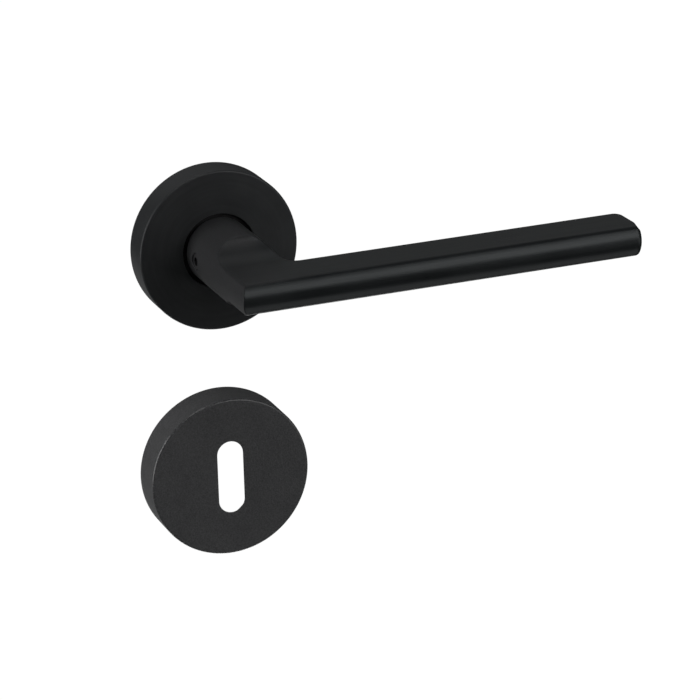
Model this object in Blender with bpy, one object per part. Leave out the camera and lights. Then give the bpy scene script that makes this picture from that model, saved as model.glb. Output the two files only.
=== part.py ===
"""Lever handle on a round rose, with a round key escutcheon below it: one side of a door.

Metres, +Z up. The origin is where the spindle's axis meets the face of the door.
+X runs along the grip, +Y goes into the door, and the handle stands out towards -Y.
In the comments and in the helper functions, d is the distance in front of the door (d = -y), in millimetres.
"""

import math

import bmesh
import bpy

# ---------------------------------------------------------------- driving dimensions, millimetres
ROSE_R = 25.0            # rose, outside radius
ROSE_T = 9.8             # height of the rose cover above the door
ESC_R = 25.4             # escutcheon, outside radius
ESC_T = 11.9             # height of the escutcheon cover
ESC_Z = -72.6            # keyhole centre below the spindle's axis
WALL = 0.85              # sheet of both covers
ESC_WALL = 1.2           # side wall of the escutcheon cover
COVER_EDGE_R = 0.7       # rounding of the covers' front rim
NECK_HOLE_R = 11.57      # hole in the rose cover
SLOT_W = 8.35            # keyhole
SLOT_H = 23.35
SCREW_X = 19.0           # fixing screws, 38 mm centres
GAP = 0.3                # clearance between pieces that touch

NECK_R = 10.34           # round neck of the lever
NECK_BACK = 8.8          # shoulder of the neck, inside the rose cover
GRIP_H = 4.7             # half the grip's thickness
GRIP_FRONT = 59.0        # most forward line of the grip
GRIP_BACK = 39.9         # rearmost line of the grip
GRIP_CROWN = 1.9         # how far the long sides bulge
GRIP_END = 117.4         # end of the grip
END_R_FRONT = 1.9        # rounding of the end's upright edges
END_R_BACK = 2.6
INNER_R = 4.3            # hollow corner between neck and grip
TOP_RUN = (29.5, 39.4)   # where the top flat climbs back to the round neck
LOW_RUN = (29.0, 43.5)   # underneath the run is longer and has no step

JOURNAL_R = 8.0          # turned end of the neck, in the bush
JOURNAL_BACK = 0.5
KEY_FLAT = 6.9           # the two flats that drive the spring plate
CIRCLIP_D = (1.05, 1.95)
SPINDLE = 8.0            # square spindle
SPINDLE_D = (30.0, -40.0)
GRUB_D = 16.6            # grub screw, distance from the door
GRUB_R = 2.2

BASE_R = 23.6            # mounting plates
HUB_R = 12.0
HUB_TOP = 5.9
PLATE_T = 3.6
CHANNEL = (12.0, 14.4, 1.5)   # spring channel: inner radius, outer radius, floor
SPRING_R = 13.0
SPRING_WIRE = 1.2
REST_ANGLE = 112.5       # driver lug at rest, degrees from +X towards +Z
TRAVEL = 45.0
LUG_R = (14.4, 17.4)
LUG_W = 3.0
PIN_R = 1.2
PIN_CIRCLE = 17.0

MM = 0.001

# ---------------------------------------------------------------- scene and materials
for old in list(bpy.data.objects):
    bpy.data.objects.remove(old, do_unlink=True)


def material(name, rgb, roughness, metallic):
    m = bpy.data.materials.new(name)
    m.use_nodes = True
    shader = m.node_tree.nodes["Principled BSDF"]
    shader.inputs["Base Color"].default_value = (*rgb, 1.0)
    shader.inputs["Roughness"].default_value = roughness
    shader.inputs["Metallic"].default_value = metallic
    m.diffuse_color = (*rgb, 1.0)
    return m


BLACK = material("matte_black_coat", (0.021, 0.022, 0.023), 0.42, 0.3)
BLACK_KEY = material("matte_black_escutcheon", (0.026, 0.027, 0.029), 0.5, 0.25)
BLACK_STEEL = material("blackened_steel", (0.03, 0.03, 0.032), 0.38, 0.8)
ZINC = material("zinc_casting", (0.42, 0.43, 0.44), 0.45, 0.9)
STEEL = material("bright_steel", (0.56, 0.57, 0.58), 0.3, 1.0)
SPRING_STEEL = material("spring_steel", (0.33, 0.34, 0.36), 0.3, 1.0)
PLATED = material("zinc_plated_screw", (0.6, 0.6, 0.62), 0.28, 1.0)
NYLON = material("white_nylon", (0.75, 0.74, 0.7), 0.5, 0.0)


# ---------------------------------------------------------------- helpers
def finish(name, bm, mat, smooth=35.0):
    """A bmesh in millimetres becomes a named object with outward faces."""
    bmesh.ops.remove_doubles(bm, verts=bm.verts, dist=1e-5)
    bmesh.ops.recalc_face_normals(bm, faces=bm.faces)
    bmesh.ops.scale(bm, vec=(MM, MM, MM), verts=bm.verts)
    mesh = bpy.data.meshes.new(name)
    bm.to_mesh(mesh)
    bm.free()
    mesh.materials.append(mat)
    obj = bpy.data.objects.new(name, mesh)
    bpy.context.scene.collection.objects.link(obj)
    shade(obj, smooth)
    return obj


def shade(obj, angle=35.0):
    obj.data.shade_smooth()
    obj.data.set_sharp_from_angle(angle=math.radians(angle))


def lathe(name, profile, mat, steps=48, cx=0.0, cz=0.0, smooth=35.0):
    """Turns a closed outline of (radius, d) about a line along Y through (cx, cz)."""
    bm = bmesh.new()
    rings = []
    for r, d in profile:
        if r < 1e-6:
            rings.append([bm.verts.new((cx, -d, cz))] * steps)
        else:
            rings.append(
                [
                    bm.verts.new(
                        (
                            cx + r * math.cos(2 * math.pi * k / steps),
                            -d,
                            cz + r * math.sin(2 * math.pi * k / steps),
                        )
                    )
                    for k in range(steps)
                ]
            )
    for i in range(len(rings)):
        a, b = rings[i], rings[(i + 1) % len(rings)]
        for k in range(steps):
            n = (k + 1) % steps
            corners = []
            for v in (a[k], a[n], b[n], b[k]):
                if v not in corners:
                    corners.append(v)
            if len(corners) > 2:
                bm.faces.new(corners)
    return finish(name, bm, mat, smooth)


def stack(name, outlines, mat, smooth=35.0):
    """Skins a list of closed outlines of (x, y, z) with the same number of points, and closes both ends."""
    bm = bmesh.new()
    rows = [[bm.verts.new(p) for p in outline] for outline in outlines]
    for a, b in zip(rows, rows[1:]):
        for k in range(len(a)):
            n = (k + 1) % len(a)
            bm.faces.new((a[k], a[n], b[n], b[k]))
    bm.faces.new(list(reversed(rows[0])))
    bm.faces.new(rows[-1])
    return finish(name, bm, mat, smooth)


def plate_y(name, outline, d0, d1, mat, cx=0.0, cz=0.0, smooth=35.0):
    """An outline of (x, z) pushed along Y from d0 to d1."""
    return stack(
        name,
        [[(cx + x, -d, cz + z) for x, z in outline] for d in (d0, d1)],
        mat,
        smooth,
    )


def bar_x(name, outline, x0, x1, mat):
    """An outline of (d, z) pushed along X."""
    return stack(name, [[(x, -d, z) for d, z in outline] for x in (x0, x1)], mat)


def arc(cx, cy, r, a0, a1, n):
    return [
        (
            cx + r * math.cos(math.radians(a0 + (a1 - a0) * k / n)),
            cy + r * math.sin(math.radians(a0 + (a1 - a0) * k / n)),
        )
        for k in range(n + 1)
    ]


def rod(name, centres, radius, mat, sides=8, smooth=60.0):
    """A round wire along a list of points, closed at both ends."""
    from mathutils import Vector

    pts = [Vector(p) for p in centres]
    bm = bmesh.new()
    rows = []
    normal = None
    for i, p in enumerate(pts):
        t = (pts[min(i + 1, len(pts) - 1)] - pts[max(i - 1, 0)]).normalized()
        if normal is None:
            helper = Vector((0, 1, 0)) if abs(t.y) < 0.9 else Vector((1, 0, 0))
            normal = t.cross(helper).normalized()
        else:
            normal = (normal - t * normal.dot(t)).normalized()
        side = t.cross(normal)
        rows.append(
            [
                bm.verts.new(
                    p
                    + normal * radius * math.cos(2 * math.pi * k / sides)
                    + side * radius * math.sin(2 * math.pi * k / sides)
                )
                for k in range(sides)
            ]
        )
    for a, b in zip(rows, rows[1:]):
        for k in range(sides):
            n = (k + 1) % sides
            bm.faces.new((a[k], a[n], b[n], b[k]))
    bm.faces.new(list(reversed(rows[0])))
    bm.faces.new(rows[-1])
    return finish(name, bm, mat, smooth)


def combine(obj, other, operation, smooth=35.0):
    """One exact Boolean, applied, and the tool removed."""
    m = obj.modifiers.new(operation.lower(), "BOOLEAN")
    m.operation = operation
    m.solver = "EXACT"
    m.object = other
    bpy.context.view_layer.update()
    graph = bpy.context.evaluated_depsgraph_get()
    mesh = bpy.data.meshes.new_from_object(obj.evaluated_get(graph))
    obj.modifiers.clear()
    before = obj.data
    mats = list(before.materials)[:1]
    obj.data = mesh
    mesh.name = obj.name
    mesh.materials.clear()
    for mat in mats:
        mesh.materials.append(mat)
    bpy.data.meshes.remove(before)
    bpy.data.objects.remove(other, do_unlink=True)
    bm = bmesh.new()
    bm.from_mesh(mesh)
    bmesh.ops.remove_doubles(bm, verts=bm.verts, dist=2e-6)
    bmesh.ops.dissolve_degenerate(bm, dist=2e-6, edges=bm.edges)
    bmesh.ops.dissolve_limit(
        bm, angle_limit=math.radians(0.4), verts=bm.verts, edges=bm.edges
    )
    bmesh.ops.triangulate(bm, faces=[f for f in bm.faces if len(f.verts) > 4])
    for f in bm.faces:
        f.material_index = 0
    bm.to_mesh(mesh)
    bm.free()
    shade(obj, smooth)
    return obj


def tool_cylinder(cx, cz, r, d0, d1, steps=32):
    return lathe("tool", [(0, d0), (r, d0), (r, d1), (0, d1)], BLACK, steps, cx, cz)


# ---------------------------------------------------------------- the lever
def neck_x(z):
    return math.sqrt(max(NECK_R**2 - z * z, 0.01))


def grip_front(z):
    return GRIP_FRONT - GRIP_CROWN * (z / GRIP_H) ** 2


def grip_back(z):
    return GRIP_BACK + GRIP_CROWN * (z / GRIP_H) ** 2


def top_run(n=9):
    """Quarter ellipse from the flat of the grip up to the crown of the round neck."""
    start, flat = TOP_RUN
    out = []
    for k in range(n + 1):
        a = math.radians(90.0 * k / n)
        d = flat - (flat - start) * math.sin(a)
        out.append((d, GRIP_H + (NECK_R - GRIP_H) * (1 - math.cos(a))))
    return out


def low_run(n=12):
    """The same job underneath, as one long easy curve."""
    start, flat = LOW_RUN
    rise = NECK_R + 0.6 - GRIP_H
    out = []
    for k in range(n + 1):
        t = 1 - k / n
        out.append((start + (flat - start) * t, -(GRIP_H + rise * (1 - t * t * (3 - 2 * t)))))
    return out


def make_lever():
    r, g = JOURNAL_R, CIRCLIP_D
    lever = lathe(
        "lever_handle",
        [
            (0, JOURNAL_BACK),
            (r - 0.3, JOURNAL_BACK),
            (r, g[0] - GAP),
            (r - 0.9, g[0] - GAP),
            (r - 0.9, g[1] + GAP),
            (r, g[1] + GAP),
            (r, NECK_BACK),
            (NECK_R - 0.4, NECK_BACK),
            (NECK_R, NECK_BACK + 0.4),
            (NECK_R, 70.0),
            (0, 70.0),
        ],
        BLACK,
        steps=48,
    )
    # grip, with its hollow corner against the neck and its rounded rear end
    outlines = []
    for k in range(13):
        z = -8.0 + 16.0 * k / 12
        b, n = grip_back(z), neck_x(z) - 0.12
        plan = [(0.0, b - INNER_R), (n, b - INNER_R)]
        plan += [
            (n + INNER_R - INNER_R * math.cos(a), b - INNER_R + INNER_R * math.sin(a))
            for a in [math.radians(90 * i / 6) for i in range(1, 7)]
        ]
        e, q = GRIP_END, END_R_BACK
        plan += [
            (e - q + q * math.sin(a), b + q - q * math.cos(a))
            for a in [math.radians(90 * i / 4) for i in range(5)]
        ]
        plan += [(e, 70.0 - 0.5), (0.0, 70.0 - 0.5)]
        outlines.append([(x, -d, z) for x, d in plan])
    combine(lever, stack("grip", outlines, BLACK), "UNION")
    # the long profile that gives the front, the top flat and the underside
    side = [(-3.0, 14.0)]
    side += [(TOP_RUN[0], 14.0)] + list(reversed(top_run()))
    side += [
        (grip_front(GRIP_H * (1 - k / 5)), GRIP_H * (1 - k / 5)) for k in range(11)
    ]
    side += low_run() + [(LOW_RUN[0], -14.0), (-3.0, -14.0)]
    combine(lever, bar_x("profile", side, -20.0, GRIP_END + 10.0, BLACK), "INTERSECT")
    # rounding of the grip's front end corner
    outlines = []
    for k in range(9):
        z = -6.0 + 12.0 * k / 8
        f, e, q = grip_front(z), GRIP_END, END_R_FRONT
        plan = [
            (e - q + q * math.sin(a), f - q + q * math.cos(a))
            for a in [math.radians(90 * i / 4) for i in range(5)]
        ]
        plan += [(e + 3.0, f - q), (e + 3.0, f + 3.0), (e - q, f + 3.0)]
        outlines.append([(x, -d, z) for x, d in plan])
    combine(lever, stack("corner", outlines, BLACK), "DIFFERENCE")
    # flats that drive the spring plate
    for s in (-1, 1):
        box = plate_y(
            "flat",
            [(-12, s * KEY_FLAT), (12, s * KEY_FLAT), (12, s * 12), (-12, s * 12)],
            7.0,
            NECK_BACK - 0.001,
            BLACK,
        )
        combine(lever, box, "DIFFERENCE")
    # square hole for the spindle, and the grub screw's hole
    h = SPINDLE / 2 + GAP
    hole = plate_y(
        "hole", [(-h, -h), (h, -h), (h, h), (-h, h)], -2.0, SPINDLE_D[0] + 0.6, BLACK
    )
    combine(lever, hole, "DIFFERENCE")
    steps = 20
    ring = [
        (
            (GRUB_R + GAP) * math.cos(2 * math.pi * k / steps),
            (GRUB_R + GAP) * math.sin(2 * math.pi * k / steps),
        )
        for k in range(steps)
    ]
    bore = bar_x("bore", [(GRUB_D + a, b) for a, b in ring], -14.0, -h + 0.5, BLACK)
    combine(lever, bore, "DIFFERENCE")
    return lever


def make_grub_screw():
    """Cup-point grub screw with a hexagon socket, its axis along X."""
    steps = 20
    rows = []
    for x, r in (
        (-9.7, GRUB_R - 0.4),
        (-9.3, GRUB_R),
        (-5.4, GRUB_R),
        (-4.6, GRUB_R - 0.9),
    ):
        rows.append(
            [
                (
                    x,
                    -GRUB_D + r * math.cos(2 * math.pi * k / steps),
                    r * math.sin(2 * math.pi * k / steps),
                )
                for k in range(steps)
            ]
        )
    screw = stack("grub_screw", rows, BLACK_STEEL)
    hexagon = [
        (
            GRUB_D + 1.44 * math.cos(math.radians(60 * k)),
            1.44 * math.sin(math.radians(60 * k)),
        )
        for k in range(6)
    ]
    combine(screw, bar_x("socket", hexagon, -12.0, -7.2, BLACK), "DIFFERENCE")
    return screw


def make_spindle():
    h, c = SPINDLE / 2, 0.5
    front, back = SPINDLE_D

    def section(s):
        return [
            (-s, -s + c), (-s + c, -s), (s - c, -s), (s, -s + c),
            (s, s - c), (s - c, s), (-s + c, s), (-s, s - c),
        ]

    rows = []
    for d, s in ((front, h - 0.7), (front - 0.7, h), (back + 0.7, h), (back, h - 0.7)):
        rows.append([(x, -d, z) for x, z in section(s)])
    spindle = stack("square_spindle", rows, STEEL)
    groove = plate_y(
        "groove",
        [(-1.9, -6.0), (1.9, -6.0), (1.9, -h + 1.3), (-1.9, -h + 1.3)],
        3.0,
        27.0,
        STEEL,
    )
    combine(spindle, groove, "DIFFERENCE")
    return spindle


def make_spindle_clip():
    """Bowed leaf spring that lies in the spindle's groove and takes up the play."""
    half, t, n = 1.6, 0.35, 12
    top, low = [], []
    for k in range(n + 1):
        d = 3.5 + 23.0 * k / n
        bow = 0.55 * math.sin(math.pi * k / n)
        z = -SPINDLE / 2 + 0.9 - bow
        top.append((d, z))
        low.append((d, z - t))
    return bar_x("spindle_clip", top + list(reversed(low)), -half, half, SPRING_STEEL)


def make_circlip():
    """External retaining ring with an opening and two eyes, in the journal's groove."""
    inner, outer = JOURNAL_R - 0.9 + GAP, 9.3
    a0, a1 = 290.0, 610.0
    outline = arc(0, 0, outer, a0 + 12, a1 - 12, 28)
    ear = 10.4
    e1, e0 = math.radians(a1), math.radians(a0)
    outline += [
        (ear * math.cos(e1 - 0.19), ear * math.sin(e1 - 0.19)),
        (ear * math.cos(e1), ear * math.sin(e1)),
    ]
    outline += arc(0, 0, inner, a1, a0, 28)
    outline += [
        (ear * math.cos(e0), ear * math.sin(e0)),
        (ear * math.cos(e0 + 0.19), ear * math.sin(e0 + 0.19)),
    ]
    return plate_y("circlip", outline, CIRCLIP_D[0], CIRCLIP_D[1], SPRING_STEEL)


def make_wave_washer():
    """Thin waved ring between the circlip and the base, against end play."""
    bm = bmesh.new()
    steps, r0, r1, t = 36, 8.35, 10.3, 0.28
    rows = []
    for k in range(steps):
        a = 2 * math.pi * k / steps
        d = 2.46 + 0.12 * math.cos(3 * a)
        rows.append(
            [
                bm.verts.new((r * math.cos(a), -dd, r * math.sin(a)))
                for r, dd in ((r0, d), (r1, d), (r1, d + t), (r0, d + t))
            ]
        )
    for k in range(steps):
        a, b = rows[k], rows[(k + 1) % steps]
        for i in range(4):
            j = (i + 1) % 4
            bm.faces.new((a[i], a[j], b[j], b[i]))
    return finish("wave_washer", bm, SPRING_STEEL)


def make_driver():
    """Spring plate keyed to the journal, with a lug bent back into the spring."""
    d0, d1 = 7.3, 8.45
    a = REST_ANGLE
    half = math.degrees(LUG_W / 2 / LUG_R[1])
    flare = 24.0
    outline = arc(0, 0, 12.6, a + flare, a + 360 - flare, 34)
    outline += arc(0, 0, LUG_R[1], a + 360 - half, a + 360 + half, 3)
    driver = plate_y("spring_driver", outline, d0, d1, BLACK_STEEL)
    ca, sa = math.cos(math.radians(a)), math.sin(math.radians(a))
    w = LUG_W / 2
    r0, r1 = LUG_R
    lug = [
        (r * ca - s * sa, r * sa + s * ca)
        for r, s in ((r0, -w), (r1, -w), (r1, w), (r0, w))
    ]
    combine(driver, plate_y("lug", lug, 4.2, d1 - 0.35, BLACK_STEEL), "UNION")
    # double-D hole
    r, f = JOURNAL_R + GAP, KEY_FLAT + GAP
    t = math.degrees(math.asin(f / r))
    hole = arc(0, 0, r, -t, t, 14) + arc(0, 0, r, 180 - t, 180 + t, 14)
    combine(driver, plate_y("key", hole, 0.0, 20.0, BLACK_STEEL), "DIFFERENCE")
    return driver


# ---------------------------------------------------------------- what is fixed to the door
def countersunk_holes(base, cz):
    for s in (-1, 1):
        cone = lathe(
            "sink",
            [(0, -2), (2.1, -2), (2.1, 1.55), (3.65, 3.3), (3.65, 8), (0, 8)],
            ZINC,
            16,
            s * SCREW_X,
            cz,
        )
        combine(base, cone, "DIFFERENCE")


def make_rose_base():
    c0, c1, floor = CHANNEL
    base = lathe(
        "rose_base",
        [
            (9.7, 3.2),
            (10.9, 3.2),
            (10.9, 0),
            (BASE_R - 0.3, 0),
            (BASE_R, 0.3),
            (BASE_R, 1.1),
            (22.75, 1.1),
            (22.75, 2.5),
            (BASE_R, 2.5),
            (BASE_R, PLATE_T - 0.4),
            (BASE_R - 0.4, PLATE_T),
            (c1, PLATE_T),
            (c1, floor),
            (c0, floor),
            (HUB_R, HUB_TOP),
            (9.7, HUB_TOP),
        ],
        ZINC,
        steps=48,
    )
    countersunk_holes(base, 0.0)
    # slot that holds the spring's rear leg
    a = 205.0
    ca, sa = math.cos(math.radians(a)), math.sin(math.radians(a))
    slot = [
        (r * ca - s * sa, r * sa + s * ca)
        for r, s in ((13.2, -0.95), (17.6, -0.95), (17.6, 0.95), (13.2, 0.95))
    ]
    combine(base, plate_y("slot", slot, floor, 8.0, ZINC), "DIFFERENCE")
    for angle in pin_angles():
        x = PIN_CIRCLE * math.cos(math.radians(angle))
        z = PIN_CIRCLE * math.sin(math.radians(angle))
        combine(base, tool_cylinder(x, z, PIN_R + GAP, 0.8, 8.0, 16), "DIFFERENCE")
    # two locating spigots that enter the door
    for s in (-1, 1):
        spigot = lathe(
            "spigot",
            [(0, -7.0), (2.1, -7.0), (2.6, -6.4), (2.6, 1.2), (0, 1.2)],
            ZINC,
            16,
            0.0,
            s * 19.0,
        )
        combine(base, spigot, "UNION")
    return base


def pin_angles():
    swing = math.degrees((LUG_W / 2 + GAP + PIN_R) / PIN_CIRCLE)
    return REST_ANGLE + swing, REST_ANGLE - TRAVEL - swing


def make_pins():
    for name, angle in zip(("rest_stop_pin", "travel_stop_pin"), pin_angles()):
        x = PIN_CIRCLE * math.cos(math.radians(angle))
        z = PIN_CIRCLE * math.sin(math.radians(angle))
        lathe(
            name,
            [
                (0, 1.1),
                (PIN_R, 1.1),
                (PIN_R, 6.5),
                (PIN_R - 0.35, 6.85),
                (0, 6.85),
            ],
            STEEL,
            16,
            x,
            z,
        )


def make_bush():
    return lathe(
        "neck_bush",
        [
            (8.3, 3.5),
            (9.4, 3.5),
            (9.4, 6.2),
            (11.7, 6.2),
            (11.7, 7.0),
            (8.3, 7.0),
        ],
        NYLON,
        steps=32,
    )


def make_return_spring():
    """Torsion spring in the base's channel: rear leg in the slot, front leg behind the driver's lug."""
    wire = SPRING_WIRE / 2
    d0, d1 = CHANNEL[2] + GAP + wire, 6.35
    a_rear = 205.0
    lug_side = math.degrees((LUG_W / 2 + GAP + wire) / 15.0)
    a_front = REST_ANGLE - lug_side + 360.0 * 2 + 0.0
    turns = 60
    pts = [
        (
            16.9 * math.cos(math.radians(a_rear)),
            -d0,
            16.9 * math.sin(math.radians(a_rear)),
        ),
        (
            14.6 * math.cos(math.radians(a_rear)),
            -d0,
            14.6 * math.sin(math.radians(a_rear)),
        ),
    ]
    start, stop = a_rear + 5.0, a_front - 5.0
    for k in range(turns + 1):
        f = k / turns
        a = math.radians(start + (stop - start) * f)
        d = d0 + (d1 - d0) * min(max((f - 0.04) / 0.92, 0.0), 1.0)
        pts.append((SPRING_R * math.cos(a), -d, SPRING_R * math.sin(a)))
    for r in (14.0, 15.6):
        a = math.radians(a_front)
        pts.append((r * math.cos(a), -d1, r * math.sin(a)))
    return rod("return_spring", pts, wire, SPRING_STEEL, 6)


def make_screw(name, x, cz):
    """Countersunk wood screw with a cross recess."""
    screw = lathe(
        name,
        [
            (0, 3.15),
            (3.2, 3.15),
            (3.2, 2.95),
            (1.7, 1.3),
            (1.7, -3.5),
            (1.35, -4.3),
            (1.35, -10.6),
            (0.0, -12.8),
        ],
        PLATED,
        16,
        x,
        cz,
    )
    w, length = 0.42, 1.75
    cross = [
        (w, w), (w, length), (-w, length), (-w, w), (-length, w), (-length, -w),
        (-w, -w), (-w, -length), (w, -length), (w, -w), (length, -w), (length, w),
    ]
    combine(screw, plate_y("recess", cross, 1.7, 6.0, STEEL, x, cz), "DIFFERENCE")
    return screw


def make_clip_ring(name, cz):
    """Sprung wire ring in the base's groove, which the cover snaps over."""
    pts = []
    for k in range(45):
        a = math.radians(-75.0 + 330.0 * k / 44)
        pts.append((23.42 * math.cos(a), -1.8, cz + 23.42 * math.sin(a)))
    return rod(name, pts, 0.4, SPRING_STEEL, 6)


def make_escutcheon_base():
    base = lathe(
        "escutcheon_base",
        [
            (8.0, 0),
            (BASE_R - 0.3, 0),
            (BASE_R, 0.3),
            (BASE_R, 1.1),
            (22.75, 1.1),
            (22.75, 2.5),
            (BASE_R, 2.5),
            (BASE_R, PLATE_T - 0.4),
            (BASE_R - 0.4, PLATE_T),
            (8.0, PLATE_T),
        ],
        ZINC,
        steps=48,
        cz=ESC_Z,
    )
    oval = arc(0, 8.0, 10.2, 0, 180, 12) + arc(0, -8.0, 10.2, 180, 360, 12)
    combine(base, plate_y("way", oval, -3, 9, ZINC, 0, ESC_Z), "DIFFERENCE")
    countersunk_holes(base, ESC_Z)
    return base


# ---------------------------------------------------------------- covers
def cover_profile(radius, height, hole, side):
    """Drawn cup with a rounded front rim and a flat front with a round hole."""
    q, w = COVER_EDGE_R, WALL
    out = [(radius, 0.0), (radius, height - q)]
    out += [(radius - q + x, height - q + y) for x, y in arc(0, 0, q, 22.5, 90, 3)]
    out += [(hole, height), (hole, height - w), (radius - side, height - w)]
    out += [(radius - side, 0.0)]
    return out


def make_rose_cover():
    profile = cover_profile(ROSE_R, ROSE_T, NECK_HOLE_R, WALL)
    return lathe("rose_cover", profile, BLACK, steps=72, smooth=40)


def make_escutcheon_cover():
    cover = lathe(
        "escutcheon_cover",
        cover_profile(ESC_R, ESC_T, 2.0, ESC_WALL),
        BLACK_KEY,
        steps=72,
        cz=ESC_Z,
        smooth=40,
    )
    h, r = SLOT_H / 2 - SLOT_W / 2, SLOT_W / 2
    keyhole = arc(0, h, r, 0, 180, 14) + arc(0, -h, r, 180, 360, 14)
    combine(
        cover, plate_y("keyhole", keyhole, 5, 15, BLACK, 0, ESC_Z), "DIFFERENCE", 40
    )
    return cover


# ---------------------------------------------------------------- build everything
make_lever()
make_grub_screw()
make_spindle()
make_spindle_clip()
make_circlip()
make_wave_washer()
make_driver()
make_rose_base()
make_pins()
make_bush()
make_return_spring()
make_screw("rose_screw_left", -SCREW_X, 0.0)
make_screw("rose_screw_right", SCREW_X, 0.0)
make_clip_ring("rose_clip_ring", 0.0)
make_rose_cover()
make_escutcheon_base()
make_screw("escutcheon_screw_left", -SCREW_X, ESC_Z)
make_screw("escutcheon_screw_right", SCREW_X, ESC_Z)
make_clip_ring("escutcheon_clip_ring", ESC_Z)
make_escutcheon_cover()

bpy.context.view_layer.update()
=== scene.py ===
"""Looks for a lever handle on a round rose with a round key escutcheon.

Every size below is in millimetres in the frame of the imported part: x along the grip, z up, and d = -y, the distance in front of the door.
"""

import math

import bmesh
import bpy
import numpy as np
from mathutils import Matrix, Vector


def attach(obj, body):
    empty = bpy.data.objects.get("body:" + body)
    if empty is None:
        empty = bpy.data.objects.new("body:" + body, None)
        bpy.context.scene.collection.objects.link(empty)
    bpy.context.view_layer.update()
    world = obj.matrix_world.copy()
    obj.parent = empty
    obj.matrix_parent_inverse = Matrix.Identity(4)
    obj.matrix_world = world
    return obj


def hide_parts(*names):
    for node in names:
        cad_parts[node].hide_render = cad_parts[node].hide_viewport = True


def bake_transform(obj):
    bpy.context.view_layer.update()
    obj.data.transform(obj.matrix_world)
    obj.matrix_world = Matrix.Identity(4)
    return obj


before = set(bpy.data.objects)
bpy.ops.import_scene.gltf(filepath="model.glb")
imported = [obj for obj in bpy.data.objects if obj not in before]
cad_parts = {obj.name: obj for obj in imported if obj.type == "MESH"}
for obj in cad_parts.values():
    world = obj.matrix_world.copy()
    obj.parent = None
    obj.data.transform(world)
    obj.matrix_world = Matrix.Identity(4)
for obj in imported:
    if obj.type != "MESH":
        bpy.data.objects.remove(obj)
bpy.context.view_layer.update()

MM = 0.001

# ---------------------------------------------------------------- sizes
ROSE_R, ROSE_T = 25.0, 9.8
ESC_R, ESC_T, ESC_Z, ESC_WALL = 25.4, 11.9, -72.6, 1.2
WALL, COVER_EDGE_R = 0.85, 0.7
NECK_HOLE_R = 11.57
SLOT_W, SLOT_H = 8.35, 23.35
SCREW_X = 19.0
NECK_R, NECK_BACK = 10.34, 8.8
GRIP_H, GRIP_FRONT, GRIP_BACK, GRIP_CROWN = 4.7, 59.0, 39.9, 1.9
GRIP_END, END_R_FRONT, END_R_BACK, INNER_R = 117.4, 1.9, 2.6, 4.3
TOP_RUN, LOW_RUN = (29.5, 39.4), (29.0, 43.5)
JOURNAL_R, JOURNAL_BACK, KEY_FLAT = 8.0, 0.5, 6.9
SPINDLE, SPINDLE_D = 8.0, (30.0, -40.0)
GRUB_D, GRUB_R = 16.6, 2.2
BASE_R, HUB_R, HUB_TOP, PLATE_T = 23.6, 12.0, 5.9, 3.6
CHANNEL = (12.0, 14.4, 1.5)
SPRING_R, SPRING_WIRE = 13.0, 1.2
REST_ANGLE, TRAVEL = 112.5, 45.0
LUG_R, LUG_W = (14.4, 17.4), 3.0
PIN_R, PIN_CIRCLE = 1.2, 17.0
GAP = 0.3


# ---------------------------------------------------------------- node materials
# lighter tones painted on the neck's sideways-facing left half: painted light
NECK_LIT_SIDE_TONES = ((0.047, 0.048, 0.051), (0.069, 0.070, 0.073))


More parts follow.
